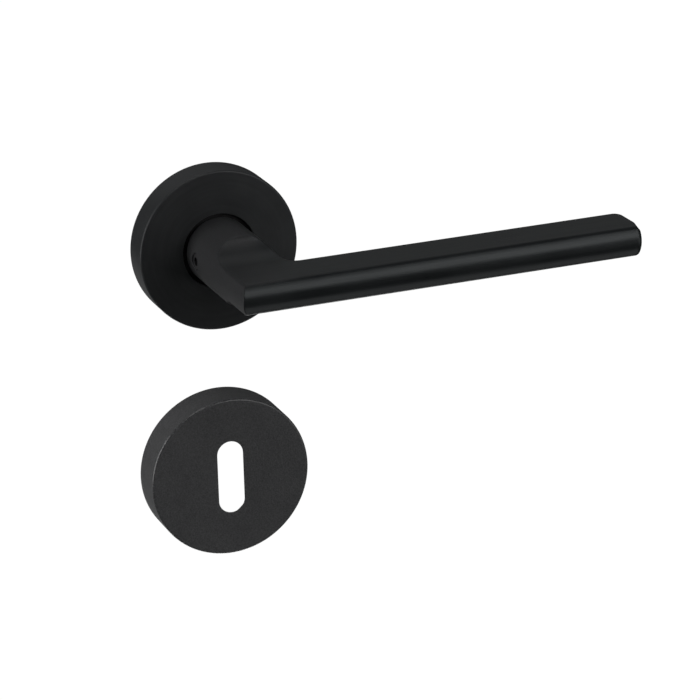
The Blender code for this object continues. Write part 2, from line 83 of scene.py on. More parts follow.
class Nodes:
    """A short way to write a node material."""

    def __init__(self, name):
        self.m = bpy.data.materials.new(name)
        self.m.use_nodes = True
        self.t = self.m.node_tree
        self.t.nodes.clear()
        self.out = self.t.nodes.new("ShaderNodeOutputMaterial")
        self.bsdf = self.t.nodes.new("ShaderNodeBsdfPrincipled")
        self.t.links.new(self.bsdf.outputs[0], self.out.inputs["Surface"])
        self.co = self.t.nodes.new("ShaderNodeTexCoord").outputs["Object"]

    def put(self, socket, value):
        if isinstance(value, bpy.types.NodeSocket):
            self.t.links.new(value, socket)
        elif isinstance(value, (tuple, list)) and len(value) == 3 and socket.type == "RGBA":
            socket.default_value = (*value, 1.0)
        else:
            socket.default_value = value

    def node(self, kind, out=0, props=(), **inputs):
        n = self.t.nodes.new(kind)
        for k, v in dict(props).items():
            setattr(n, k, v)
        for k, v in inputs.items():
            key = k.replace("_", " ")
            self.put(n.inputs[int(k[1:])] if k[0] == "i" and k[1:].isdigit() else n.inputs[key], v)
        return n.outputs[out]

    def math(self, op, a, b=0.0, c=None, clamp=False):
        n = self.t.nodes.new("ShaderNodeMath")
        n.operation, n.use_clamp = op, clamp
        self.put(n.inputs[0], a)
        self.put(n.inputs[1], b)
        if c is not None:
            self.put(n.inputs[2], c)
        return n.outputs[0]

    def scaled(self, vector, scale):
        n = self.t.nodes.new("ShaderNodeVectorMath")
        n.operation = "MULTIPLY"
        self.put(n.inputs[0], vector)
        n.inputs[1].default_value = scale
        return n.outputs[0]

    def noise(self, vector, scale=1.0, detail=3.0, rough=0.55, distortion=0.0):
        return self.node(
            "ShaderNodeTexNoise", 0, Vector=vector, Scale=scale, Detail=detail, Roughness=rough, Distortion=distortion
        )

    def spread(self, value, low, high, a, b):
        """Takes value from low..high to a..b."""
        return self.node("ShaderNodeMapRange", 0, i0=value, i1=low, i2=high, i3=a, i4=b)

    def mix(self, factor, a, b):
        n = self.t.nodes.new("ShaderNodeMix")
        n.data_type = "RGBA"
        self.put(n.inputs[0], factor)
        self.put(n.inputs[6], a)
        self.put(n.inputs[7], b)
        return n.outputs[2]

    def bump(self, height, strength, distance, normal=None):
        n = self.t.nodes.new("ShaderNodeBump")
        n.inputs["Strength"].default_value = strength
        n.inputs["Distance"].default_value = distance
        self.put(n.inputs["Height"], height)
        if normal is not None:
            self.put(n.inputs["Normal"], normal)
        return n.outputs[0]

    def polar(self, cz=0.0):
        """(radius, angle) about the line along Y at height cz, radius in mm."""
        s = self.t.nodes.new("ShaderNodeSeparateXYZ")
        self.put(s.inputs[0], self.co)
        x = self.math("MULTIPLY", s.outputs[0], 1000.0)
        z = self.math("MULTIPLY_ADD", s.outputs[2], 1000.0, -cz)
        r = self.math("SQRT", self.math("ADD", self.math("MULTIPLY", x, x), self.math("MULTIPLY", z, z)))
        return r, self.math("ARCTAN2", z, x), self.math("MULTIPLY", s.outputs[1], 1000.0)

    def vector(self, x, y, z):
        return self.node("ShaderNodeCombineXYZ", 0, i0=x, i1=y, i2=z)

    def set(self, **inputs):
        for k, v in inputs.items():
            self.put(self.bsdf.inputs[k.replace("_", " ")], v)
        return self.m


def satin_black(name="satin_black_lever"):
    """Black coat: lines brushed along the grip, a finer blasted grain on the neck's left half, whose lighter colour
    there is painted light for its lit side; its up-facing milled flat is kept darker as painted shade.
    """
    n = Nodes(name)
    along = n.noise(n.scaled(n.co, (60.0, 2600.0, 2600.0)), 1.0, 4.0, 0.6)
    long = n.noise(n.scaled(n.co, (14.0, 900.0, 900.0)), 1.0, 2.0, 0.5)
    cloud = n.noise(n.co, 55.0, 3.0, 0.5)
    fine = n.noise(n.co, 9000.0, 2.0, 0.5)
    grain = n.noise(n.co, 3000.0, 3.0, 0.6)
    place = n.node("ShaderNodeSeparateXYZ", 0, i0=n.co)
    facing = n.t.nodes.new("ShaderNodeSeparateXYZ")
    n.put(facing.inputs[0], n.t.nodes.new("ShaderNodeTexCoord").outputs["Normal"])
    side = n.spread(n.math("ABSOLUTE", facing.outputs[1]), 0.45, 0.80, 1.0, 0.0)
    depth = n.node("ShaderNodeSeparateXYZ", 1, i0=n.co)
    side = n.math("MAXIMUM", side, n.spread(depth, -0.046, -0.042, 0.0, 1.0))
    # painted light: the neck's sideways-facing left half takes the lighter tones, with a rougher, grainier finish
    blast_and_lit_side = n.math("MULTIPLY", n.spread(place, 0.001, 0.009, 1.0, 0.0), side)
    # painted shade: faces turned upwards beyond d 28.5 mm keep more of the darker grip colour
    level = n.math("MULTIPLY", n.spread(facing.outputs[2], 0.55, 0.85, 0.0, 0.45), n.spread(depth, -0.0285, -0.0325, 0.0, 1.0))
    blast_and_lit_side = n.math("MULTIPLY", blast_and_lit_side, n.math("SUBTRACT", 1.0, level))
    tone = n.math("MULTIPLY_ADD", long, 0.35, n.math("MULTIPLY", cloud, 0.65))
    brushed = n.mix(n.spread(tone, 0.35, 0.65, 0.0, 1.0), (0.0310, 0.0350, 0.0370), (0.0450, 0.0505, 0.0525))
    tone = n.math("MULTIPLY_ADD", grain, 0.6, n.math("MULTIPLY", cloud, 0.4))
    lit_side_colour = n.mix(n.spread(tone, 0.35, 0.65, 0.0, 1.0), NECK_LIT_SIDE_TONES[0], NECK_LIT_SIDE_TONES[1])
    rough = n.math("ADD", n.spread(along, 0.3, 0.7, 0.29, 0.35), n.spread(cloud, 0.35, 0.65, -0.02, 0.02))
    rough = n.math("MULTIPLY_ADD", blast_and_lit_side, 0.20, rough)
    b = n.bump(along, 0.06, 0.00006)
    b = n.bump(fine, 0.10, 0.00002, b)
    b = n.bump(n.math("MULTIPLY", grain, blast_and_lit_side), 0.20, 0.00004, b)
    return n.set(
        Base_Color=n.mix(blast_and_lit_side, brushed, lit_side_colour), Roughness=rough, Metallic=n.spread(blast_and_lit_side, 0.0, 1.0, 0.40, 0.10), IOR=1.5, Normal=b
    )


def turned_black(name="satin_black_rose"):
    """Black coat on a turned face: fine rings about the spindle's axis."""
    n = Nodes(name)
    r, a, y = n.polar()
    ring = n.noise(n.vector(n.math("MULTIPLY", r, 9.0), n.math("MULTIPLY", a, 0.9), n.math("MULTIPLY", y, 9.0)), 1.0, 4.0, 0.6)
    wide = n.noise(n.vector(n.math("MULTIPLY", r, 0.9), n.math("MULTIPLY", a, 0.5), 0.0), 1.0, 2.0, 0.5)
    cloud = n.noise(n.co, 60.0, 3.0, 0.5)
    tone = n.math("MULTIPLY_ADD", wide, 0.4, n.math("MULTIPLY", cloud, 0.6))
    colour = n.mix(n.spread(tone, 0.35, 0.65, 0.0, 1.0), (0.050, 0.052, 0.055), (0.068, 0.071, 0.074))
    rough = n.math("ADD", n.spread(ring, 0.3, 0.7, 0.36, 0.46), n.spread(cloud, 0.35, 0.65, -0.02, 0.02))
    b = n.bump(ring, 0.10, 0.00006)
    return n.set(Base_Color=colour, Roughness=rough, Metallic=0.10, IOR=1.5, Normal=b)


def powder_black(name="powder_black_escutcheon"):
    """Fine-textured powder coat: rounded grains with a few brighter flecks, burnished where the edge is rounded."""
    n = Nodes(name)
    grain = n.noise(n.co, 2000.0, 3.0, 0.65)
    cell = n.node("ShaderNodeTexVoronoi", 0, Vector=n.co, Scale=2200.0)
    cloud = n.noise(n.co, 90.0, 4.0, 0.6)
    fleck = n.noise(n.co, 4200.0, 1.0, 0.5)
    tone = n.math("MULTIPLY_ADD", grain, 0.8, n.math("MULTIPLY", cloud, 0.2))
    colour = n.mix(n.spread(tone, 0.36, 0.64, 0.0, 1.0), (0.095, 0.095, 0.099), (0.170, 0.170, 0.174))
    colour = n.mix(n.spread(fleck, 0.66, 0.78, 0.0, 0.5), colour, (0.21, 0.21, 0.215))
    facing = n.t.nodes.new("ShaderNodeSeparateXYZ")
    n.put(facing.inputs[0], n.t.nodes.new("ShaderNodeTexCoord").outputs["Normal"])
    front = n.math("ABSOLUTE", facing.outputs[1])
    edge = n.math("MULTIPLY", n.spread(front, 0.10, 0.35, 0.0, 1.0), n.spread(front, 0.90, 0.985, 1.0, 0.0))
    rough = n.math("MULTIPLY_ADD", edge, -0.34, n.spread(grain, 0.3, 0.7, 0.52, 0.66))
    b = n.bump(cell, 0.30, 0.00005)
    b = n.bump(grain, 0.35, 0.00006, b)
    return n.set(
        Base_Color=colour, Roughness=rough, Metallic=0.10, IOR=1.5, Coat_Weight=n.math("MULTIPLY", edge, 0.9), Coat_Roughness=0.16, Normal=b
    )


def cast_zinc(name="cast_zinc", light=1.0):
    n = Nodes(name)
    grain = n.noise(n.co, 1500.0, 5.0, 0.6)
    cloud = n.noise(n.co, 120.0, 4.0, 0.6)
    spot = n.noise(n.co, 420.0, 3.0, 0.7)
    a = tuple(v * light for v in (0.30, 0.305, 0.315))
    c = tuple(v * light for v in (0.50, 0.505, 0.515))
    colour = n.mix(n.spread(cloud, 0.35, 0.65, 0.0, 1.0), a, c)
    colour = n.mix(n.spread(spot, 0.6, 0.75, 0.0, 0.5), colour, tuple(v * light for v in (0.2, 0.2, 0.21)))
    rough = n.spread(grain, 0.3, 0.7, 0.46, 0.62)
    b = n.bump(grain, 0.30, 0.00008)
    b = n.bump(spot, 0.15, 0.0001, b)
    return n.set(Base_Color=colour, Roughness=rough, Metallic=0.6, Normal=b)


def steel(name, dark, light, rough0, rough1, stretch=(1.0, 1.0, 1.0), scale=1800.0, metallic=1.0, strength=0.2):
    """Drawn or blackened steel, its lines along the axis that stretch makes long."""
    n = Nodes(name)
    line = n.noise(n.scaled(n.co, stretch), scale, 4.0, 0.6)
    cloud = n.noise(n.co, 160.0, 4.0, 0.6)
    colour = n.mix(n.spread(cloud, 0.33, 0.67, 0.0, 1.0), dark, light)
    rough = n.spread(n.math("MULTIPLY_ADD", line, 0.7, n.math("MULTIPLY", cloud, 0.3)), 0.33, 0.67, rough0, rough1)
    b = n.bump(line, strength, 0.00005)
    return n.set(Base_Color=colour, Roughness=rough, Metallic=metallic, Normal=b)


def nylon(name="nylon_bush"):
    n = Nodes(name)
    cloud = n.noise(n.co, 150.0, 4.0, 0.6)
    grain = n.noise(n.co, 4000.0, 3.0, 0.6)
    colour = n.mix(n.spread(cloud, 0.35, 0.65, 0.0, 1.0), (0.66, 0.645, 0.60), (0.76, 0.75, 0.71))
    b = n.bump(grain, 0.15, 0.00004)
    return n.set(
        Base_Color=colour, Roughness=n.spread(grain, 0.3, 0.7, 0.42, 0.55), Subsurface_Weight=0.15, Subsurface_Scale=0.001, Normal=b
    )


LEVER = satin_black()
ROSE = turned_black()
KEY = powder_black()
ZINC = cast_zinc()
# the spring driver plate is near-black, darker than its blackened finish alone: painted shade for the deep gap around
# the neck
DRIVER = steel("blackened_plate_and_gap_shade", (0.0040, 0.0040, 0.0042), (0.0070, 0.0070, 0.0075), 0.62, 0.74, metallic=0.0)
GRUB = steel("blackened_grub_screw", (0.050, 0.050, 0.053), (0.072, 0.072, 0.075), 0.42, 0.52, metallic=0.25)
BLACK_STEEL = steel("blackened_steel", (0.02, 0.02, 0.022), (0.04, 0.04, 0.043), 0.30, 0.42, metallic=0.8)
BRIGHT = steel("drawn_steel", (0.46, 0.465, 0.475), (0.62, 0.625, 0.635), 0.24, 0.40, (1.0, 0.02, 1.0))
SPRING = steel("spring_wire", (0.22, 0.225, 0.235), (0.38, 0.385, 0.40), 0.26, 0.38)
SHEET = steel("spring_sheet", (0.30, 0.305, 0.315), (0.46, 0.465, 0.48), 0.26, 0.40, (1.0, 0.05, 1.0))
SCREW = steel("zinc_plated_screw", (0.52, 0.525, 0.54), (0.68, 0.685, 0.70), 0.22, 0.34, metallic=1.0)
BUSH = nylon()


# ---------------------------------------------------------------- mesh helpers
def finish(name, bm, mat, smooth=35.0):
    bmesh.ops.remove_doubles(bm, verts=bm.verts, dist=1e-5)
    bmesh.ops.recalc_face_normals(bm, faces=bm.faces)
    bmesh.ops.scale(bm, vec=(MM, MM, MM), verts=bm.verts)
    mesh = bpy.data.meshes.new(name)
    bm.to_mesh(mesh)
    bm.free()
    mesh.materials.append(mat)
    obj = bpy.data.objects.new(name, mesh)
    bpy.context.scene.collection.objects.link(obj)
    shade(obj, smooth)
    return obj


def shade(obj, angle=35.0):
    obj.data.shade_smooth()
    obj.data.set_sharp_from_angle(angle=math.radians(angle))


def rings(name, rows, mat, closed=True, smooth=35.0):
    """Skins rows of (x, y, z) points, each row a closed loop; closed joins the last row to the first, otherwise both ends are capped."""
    bm = bmesh.new()
    made = []
    for row in rows:
        if len(row) == 1:
            made.append([bm.verts.new(row[0])])
        else:
            made.append([bm.verts.new(p) for p in row])
    n = max(len(r) for r in made)
    pairs = list(zip(made, made[1:])) + ([(made[-1], made[0])] if closed else [])
    for a, b in pairs:
        for k in range(n):
            j = (k + 1) % n
            quad = []
            for v in (a[k % len(a)], a[j % len(a)], b[j % len(b)], b[k % len(b)]):
                if v not in quad:
                    quad.append(v)
            if len(quad) > 2:
                bm.faces.new(quad)
    if not closed:
        if len(made[0]) > 1:
            bm.faces.new(list(reversed(made[0])))
        if len(made[-1]) > 1:
            bm.faces.new(made[-1])
    return finish(name, bm, mat, smooth)


def circle(r, d, n, cx=0.0, cz=0.0):
    if r < 1e-6:
        return [(cx, -d, cz)]
    return [
        (cx + r * math.cos(2 * math.pi * k / n), -d, cz + r * math.sin(2 * math.pi * k / n)) for k in range(n)
    ]


def lathe(name, profile, mat, steps=160, cx=0.0, cz=0.0, smooth=35.0):
    return rings(name, [circle(r, d, steps, cx, cz) for r, d in profile], mat, True, smooth)


def rounded(profile, radius, n=4):
    """A closed outline with its corners rounded; radius is one number, or one for each corner."""
    out = []
    count = len(profile)
    for i in range(count):
        r = radius[i] if isinstance(radius, (list, tuple)) else radius
        p, a, b = Vector(profile[i]), Vector(profile[i - 1]), Vector(profile[(i + 1) % count])
        u, v = (a - p), (b - p)
        lu, lv = u.length, v.length
        if r <= 0 or lu < 1e-6 or lv < 1e-6:
            out.append(tuple(p))
            continue
        u, v = u / lu, v / lv
        cosine = max(-1.0, min(1.0, u.dot(v)))
        angle = math.acos(cosine)
        if angle > math.radians(178):
            out.append(tuple(p))
            continue
        cut = min(r / math.tan(angle / 2), lu * 0.48, lv * 0.48)
        rr = cut * math.tan(angle / 2)
        c = p + (u + v).normalized() * (rr / math.sin(angle / 2))
        s, e = (p + u * cut) - c, (p + v * cut) - c
        sweep = math.atan2(s.x * e.y - s.y * e.x, s.dot(e))
        for k in range(n + 1):
            t = sweep * k / n
            out.append((c.x + s.x * math.cos(t) - s.y * math.sin(t), c.y + s.x * math.sin(t) + s.y * math.cos(t)))
    return out


def stack(name, outlines, mat, smooth=35.0):
    return rings(name, outlines, mat, False, smooth)


def plate_y(name, outline, d0, d1, mat, cx=0.0, cz=0.0, smooth=35.0, edge=0.0):
    """An outline of (x, z) pushed along Y from d0 to d1."""
    obj = stack(name, [[(cx + x, -d, cz + z) for x, z in outline] for d in (d0, d1)], mat, smooth)
    if edge:
        bevel(obj, edge)
    return obj


def bar_x(name, outline, x0, x1, mat, smooth=35.0):
    return stack(name, [[(x, -d, z) for d, z in outline] for x in (x0, x1)], mat, smooth)


def arc(cx, cy, r, a0, a1, n):
    return [
        (
            cx + r * math.cos(math.radians(a0 + (a1 - a0) * k / n)),
            cy + r * math.sin(math.radians(a0 + (a1 - a0) * k / n)),
        )
        for k in range(n + 1)
    ]


def rod(name, centres, radius, mat, sides=20, smooth=60.0):
    """A round wire with softened ends along a list of points."""
    pts = [Vector(p) for p in centres]
    rows, normal = [], None
    for i, p in enumerate(pts):
        t = (pts[min(i + 1, len(pts) - 1)] - pts[max(i - 1, 0)]).normalized()
        if normal is None:
            helper = Vector((0, 1, 0)) if abs(t.y) < 0.9 else Vector((1, 0, 0))
            normal = t.cross(helper).normalized()
        else:
            normal = (normal - t * normal.dot(t)).normalized()
        side = t.cross(normal)

        def loop(centre, r):
            return [
                centre + normal * r * math.cos(2 * math.pi * k / sides) + side * r * math.sin(2 * math.pi * k / sides)
                for k in range(sides)
            ]

        if i == 0:
            rows.append(loop(p, radius * 0.7))
            rows.append(loop(p + t * radius * 0.25, radius))
        elif i == len(pts) - 1:
            rows.append(loop(p - t * radius * 0.25, radius))
            rows.append(loop(p, radius * 0.7))
        else:
            rows.append(loop(p, radius))
    return rings(name, [[tuple(v) for v in r] for r in rows], mat, False, smooth)


def apply(obj):
    """Replaces an object's mesh by its evaluated one."""
    bpy.context.view_layer.update()
    graph = bpy.context.evaluated_depsgraph_get()
    mesh = bpy.data.meshes.new_from_object(obj.evaluated_get(graph))
    obj.modifiers.clear()
    old = obj.data
    mats = list(old.materials)[:1]
    obj.data = mesh
    mesh.name = obj.name
    mesh.materials.clear()
    for m in mats:
        mesh.materials.append(m)
    bpy.data.meshes.remove(old)
    return obj


def combine(obj, other, operation, smooth=35.0):
    m = obj.modifiers.new(operation.lower(), "BOOLEAN")
    m.operation, m.solver, m.object = operation, "EXACT", other
    apply(obj)
    bpy.data.objects.remove(other, do_unlink=True)
    bm = bmesh.new()
    bm.from_mesh(obj.data)
    bmesh.ops.remove_doubles(bm, verts=bm.verts, dist=2e-6)
    bmesh.ops.dissolve_degenerate(bm, dist=2e-6, edges=bm.edges)
    for f in bm.faces:
        f.material_index = 0
    bm.to_mesh(obj.data)
    bm.free()
    shade(obj, smooth)
    return obj


def bevel(obj, width, segments=2, angle=32.0, smooth=35.0):
    """Breaks the sharp edges of a piece."""
    bm = bmesh.new()
    bm.from_mesh(obj.data)
    bmesh.ops.dissolve_limit(bm, angle_limit=math.radians(0.3), verts=bm.verts, edges=bm.edges)
    bm.to_mesh(obj.data)
    bm.free()
    m = obj.modifiers.new("bevel", "BEVEL")
    m.width, m.segments, m.limit_method, m.angle_limit = width * MM, segments, "ANGLE", math.radians(angle)
    m.use_clamp_overlap = True
    m.harden_normals = False
    apply(obj)
    shade(obj, smooth)
    return obj


def place(obj, body, node, slot):
    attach(obj, body)
    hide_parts(node)
    return obj


# ---------------------------------------------------------------- the lever, as one rounded body
def rmax(a, b, r):
    """Intersection of two fields with an edge rounded to radius r."""
    return np.minimum(np.maximum(a, b), -r) + np.sqrt(np.maximum(a + r, 0) ** 2 + np.maximum(b + r, 0) ** 2)


def rmin(a, b, r):
    """Union of two fields with a hollow corner of radius r."""
    return np.maximum(np.minimum(a, b), r) - np.sqrt(np.maximum(r - a, 0) ** 2 + np.maximum(r - b, 0) ** 2)


def milled(d, z, run):
    """How far a point lies inside the material milled off one side: flat at GRIP_H, with a quarter ellipse at its rear end."""
    a, b = run[1] - run[0], NECK_R - GRIP_H
    u, w = (d - run[1]) / a, (z - NECK_R) / b
    k = np.sqrt(u * u + w * w) + 1e-9
    slope = np.sqrt((u / a) ** 2 + (w / b) ** 2) / k + 1e-9
    return np.where(d > run[1], z - GRIP_H, (1.0 - k) / slope)


def eased(d, z):
    """The same underneath, where one long easy curve runs out into the round neck."""
    start, flat = LOW_RUN
    rise = NECK_R + 0.6 - GRIP_H
    t = np.clip((d - start) / (flat - start), 0.0, 1.0)
    level = GRIP_H + rise * (1 - t * t * (3 - 2 * t))
    slope = rise * 6 * t * (1 - t) / (flat - start)
    return np.where(d < start, -1.0, (z - level) / np.sqrt(1 + slope * slope))


def lever_field(x, d, z):
    """Below zero inside the lever. Distances in mm."""
    radius = np.sqrt(x * x + z * z)
    neck = rmax(radius - NECK_R, NECK_BACK - d, 0.4)
    lean = np.sqrt(1.0 + (2 * GRIP_CROWN * z / GRIP_H**2) ** 2)
    back = (GRIP_BACK + GRIP_CROWN * (z / GRIP_H) ** 2 - d) / lean
    front = (d - GRIP_FRONT + GRIP_CROWN * (z / GRIP_H) ** 2) / lean
    grip = np.maximum(rmax(back, x - GRIP_END, END_R_BACK), -x)
    body = rmin(neck, grip, INNER_R)
    corner = 0.25 + (END_R_FRONT - 0.25) * np.clip((x - 60.0) / 40.0, 0, 1)
    body = rmax(body, front, corner)
    edge = 0.22 + 0.5 * np.clip((d - 38.0) / 4.0, 0, 1)
    body = rmax(body, milled(d, z, TOP_RUN), edge)
    body = rmax(body, eased(d, -z), edge)
    # the end's corners are rounded off more towards the front
    r = 0.1 + 2.7 * np.clip((d - 51.5) / 5.5, 0, 1)
    tip = np.hypot(np.maximum(x - GRIP_END + r, 0), np.maximum(np.abs(z) - GRIP_H + r, 0)) - r
    body = np.where(x > 100.0, np.maximum(body, tip), body)
    # turned end with the retaining ring's groove and the two flats
    journal = rmax(radius - JOURNAL_R, JOURNAL_BACK - d, 0.3)
    groove = np.maximum(JOURNAL_R - 0.9 - radius, np.abs(d - 1.5) - 0.75)
    journal = np.maximum(journal, -groove)
    flats = np.maximum(KEY_FLAT - np.abs(z), np.abs(d - 8.4) - 1.4)
    journal = np.maximum(journal, -flats)
    journal = np.maximum(journal, d - 12.0)
    body = np.minimum(body, journal)
    # square hole for the spindle, and the grub screw's hole
    h = SPINDLE / 2 + GAP
    hole = np.maximum(np.maximum(np.abs(x), np.abs(z)) - h, d - SPINDLE_D[0] - 0.6)
    body = rmax(body, -hole, 0.2)
    bore = np.maximum(np.sqrt((d - GRUB_D) ** 2 + z * z) - GRUB_R - GAP, x + h - 0.5)
    return rmax(body, -bore, 0.1)


def field_mesh(name, field, xs, ds, zs, mat):
    """Dual surface of a field on a grid of uneven steps, with each point moved onto the true surface."""
    xs, ds, zs = (np.asarray(v, float) for v in (xs, ds, zs))
    v = field(xs[:, None, None], ds[None, :, None], zs[None, None, :]).astype(np.float64)
    s = v < 0
    c = s.astype(np.int8)
    total = sum(
        c[i : len(xs) - 1 + i, j : len(ds) - 1 + j, k : len(zs) - 1 + k]
        for i in (0, 1)
        for j in (0, 1)
        for k in (0, 1)
    )
    ii, jj, kk = np.nonzero((total > 0) & (total < 8))
    index = np.full(total.shape, -1, np.int64)
    index[ii, jj, kk] = np.arange(len(ii))
    acc, cnt = np.zeros((len(ii), 3)), np.zeros(len(ii))
    corners = [(i, j, k) for i in (0, 1) for j in (0, 1) for k in (0, 1)]
    for a in corners:
        for axis in range(3):
            if a[axis]:
                continue
            b = list(a)
            b[axis] = 1
            va, vb = v[ii + a[0], jj + a[1], kk + a[2]], v[ii + b[0], jj + b[1], kk + b[2]]
            m = (va < 0) != (vb < 0)
            t = np.where(m, va / np.where(va == vb, 1.0, va - vb), 0.0)[:, None]
            pa = np.stack([xs[ii + a[0]], ds[jj + a[1]], zs[kk + a[2]]], 1)
            pb = np.stack([xs[ii + b[0]], ds[jj + b[1]], zs[kk + b[2]]], 1)
            acc[m] += (pa + t * (pb - pa))[m]
            cnt[m] += 1
    p = acc / cnt[:, None]

    def gradient(q, h=0.01):
        g = []
        for axis in range(3):
            e = np.zeros(3)
            e[axis] = h
            u, w = q + e, q - e
            g.append((field(u[:, 0], u[:, 1], u[:, 2]) - field(w[:, 0], w[:, 1], w[:, 2])) / (2 * h))
        return np.stack(g, 1)

    for _ in range(6):
        g = gradient(p)
        f = field(p[:, 0], p[:, 1], p[:, 2])
        step = g * (f / np.maximum((g * g).sum(1), 0.05))[:, None]
        size = np.linalg.norm(step, axis=1)
        p -= step * np.minimum(1.0, 0.12 / np.maximum(size, 1e-9))[:, None]
    g = gradient(p, 0.02)
    normal = g / np.maximum(np.linalg.norm(g, axis=1), 1e-9)[:, None]
    faces = []
    for axis in range(3):
        lo = [slice(None)] * 3
        hi = [slice(None)] * 3
        lo[axis], hi[axis] = slice(0, -1), slice(1, None)
        inside, outside = s[tuple(lo)], s[tuple(hi)]
        e = np.argwhere(inside != outside)
        o1, o2 = [q for q in range(3) if q != axis]
        e = e[(e[:, o1] > 0) & (e[:, o2] > 0) & (e[:, o1] < s.shape[o1] - 1) & (e[:, o2] < s.shape[o2] - 1)]
        quad = []
        for da, db in ((-1, -1), (0, -1), (0, 0), (-1, 0)):
            cell = e.copy()
            cell[:, o1] += da
            cell[:, o2] += db
            quad.append(index[cell[:, 0], cell[:, 1], cell[:, 2]])
        quad = np.stack(quad, 1)
        flip = inside[e[:, 0], e[:, 1], e[:, 2]]
        if axis == 1:
            flip = ~flip
        quad[~flip] = quad[~flip][:, ::-1]
        faces.append(quad)
    faces = np.concatenate(faces)[:, ::-1]
    co = np.stack([p[:, 0], -p[:, 1], p[:, 2]], 1) * MM
    normal = np.stack([normal[:, 0], -normal[:, 1], normal[:, 2]], 1)
    mesh = bpy.data.meshes.new(name)
    mesh.from_pydata(co.tolist(), [], faces.tolist())
    mesh.update()
    mesh.materials.append(mat)
    mesh.shade_smooth()
    mesh.normals_split_custom_set_from_vertices(normal.tolist())
    obj = bpy.data.objects.new(name, mesh)
    bpy.context.scene.collection.objects.link(obj)
    return obj


def steps(*stops):
    """Grid lines: (start, pitch), (start, pitch), ..., end."""
    out = []
    for (a, pitch), nxt in zip(stops[:-1], stops[1:]):
        b = nxt[0] if isinstance(nxt, tuple) else nxt
        n = max(1, round((b - a) / pitch))
        out += [a + (b - a) * i / n for i in range(n)]
    return out + [stops[-1]]


def make_lever():
    k = 1.0
    xs = steps((-10.9, 0.3 * k), (15.5, 1.7), (112.0, 0.22 * k), 117.25)
    ds = steps((-0.1, 0.3 * k), (3.1, 0.5 * k), (6.7, 0.3 * k), (39.4, 0.15 * k), (42.6, 0.4), (56.4, 0.13 * k), 59.4)
    zs = steps((-10.8, 0.3 * k), (-5.3, 0.13 * k), (-3.6, 0.4), (3.6, 0.13 * k), (5.3, 0.3 * k), 10.8)
    lever = field_mesh("lever_handle_casting", lever_field, xs, ds, zs, LEVER)
    return place(lever, "lever", "lever_handle", "black_lever")


# ---------------------------------------------------------------- covers
RIM = 256


def make_rose_cover():
    q, w, h, n = COVER_EDGE_R, WALL, ROSE_T, NECK_HOLE_R
    outline = [(ROSE_R, 0.0), (ROSE_R, h), (n, h), (n, h - w), (ROSE_R - w, h - w), (ROSE_R - w, 0.0)]
    prof = rounded(outline, [0.12, q, 0.16, 0.12, 0.35, 0.12], 7)
    cover = lathe("rose_cover_cup", prof, ROSE, RIM, smooth=50)
    return place(cover, "rose_cover", "rose_cover", "black_rose")


def slot_ring(offset, d, n=RIM):
    """Outline of the keyhole, grown by offset, in even steps of angle."""
    w, half = SLOT_W / 2 + offset, SLOT_H / 2 - SLOT_W / 2
    out = []
    for k in range(n):
        a = 2 * math.pi * k / n
        c, s = math.cos(a), math.sin(a)
        if abs(c) > 1e-9 and abs(s / c) * w <= half:
            r = w / abs(c)
        else:
            b = half * abs(s)
            r = b + math.sqrt(max(b * b - half * half + w * w, 0.0))
        out.append((r * c, -d, ESC_Z + r * s))
    return out


def make_escutcheon_cover():
    q, w, h = COVER_EDGE_R, WALL, ESC_T
    rows = []
    inside = ESC_R - ESC_WALL
    for r, d in rounded([(inside, 2.0), (inside, 0.0), (ESC_R, 0.0), (ESC_R, h), (12.0, h)], [0, 0.12, 0.12, q, 0], 8)[:-1]:
        rows.append(circle(r, d, RIM, 0.0, ESC_Z))
    edge = 0.22
    outer, inner = circle(ESC_R - q, h, RIM, 0.0, ESC_Z), slot_ring(edge, h)
    for i in range(1, 8):
        t = i / 8
        rows.append([tuple(a * (1 - t) + b * t for a, b in zip(p, o)) for p, o in zip(outer, inner)])
    for k in range(6):
        t = math.radians(90 * k / 5)
        rows.append(slot_ring(edge * (1 - math.sin(t)), h - edge * (1 - math.cos(t))))
    rows.append(slot_ring(0.55, h - w))
    inner2, outer2 = slot_ring(0.55, h - w), circle(inside - 0.35, h - w, RIM, 0.0, ESC_Z)
    for i in range(1, 5):
        t = i / 4
        rows.append([tuple(a * (1 - t) + b * t for a, b in zip(p, o)) for p, o in zip(inner2, outer2)])
    for k in range(1, 6):
        t = math.radians(90 * k / 5)
        rows.append(circle(inside - 0.35 + 0.35 * math.sin(t), h - w - 0.35 + 0.35 * math.cos(t), RIM, 0.0, ESC_Z))
    cover = rings("escutcheon_cover_cup", rows, KEY, True, 50)
    return place(cover, "escutcheon_cover", "escutcheon_cover", "black_escutcheon")


# ---------------------------------------------------------------- mounting plates and what they hold
def countersunk_holes(base, cz):
    for s in (-1, 1):
        cone = lathe(
            "sink", [(0, -2), (2.1, -2), (2.1, 1.55), (3.65, 3.3), (3.65, 8), (0, 8)], ZINC, 64, s * SCREW_X, cz
        )
        combine(base, cone, "DIFFERENCE")


def pin_angles():
    swing = math.degrees((LUG_W / 2 + GAP + PIN_R) / PIN_CIRCLE)
    return REST_ANGLE + swing, REST_ANGLE - TRAVEL - swing


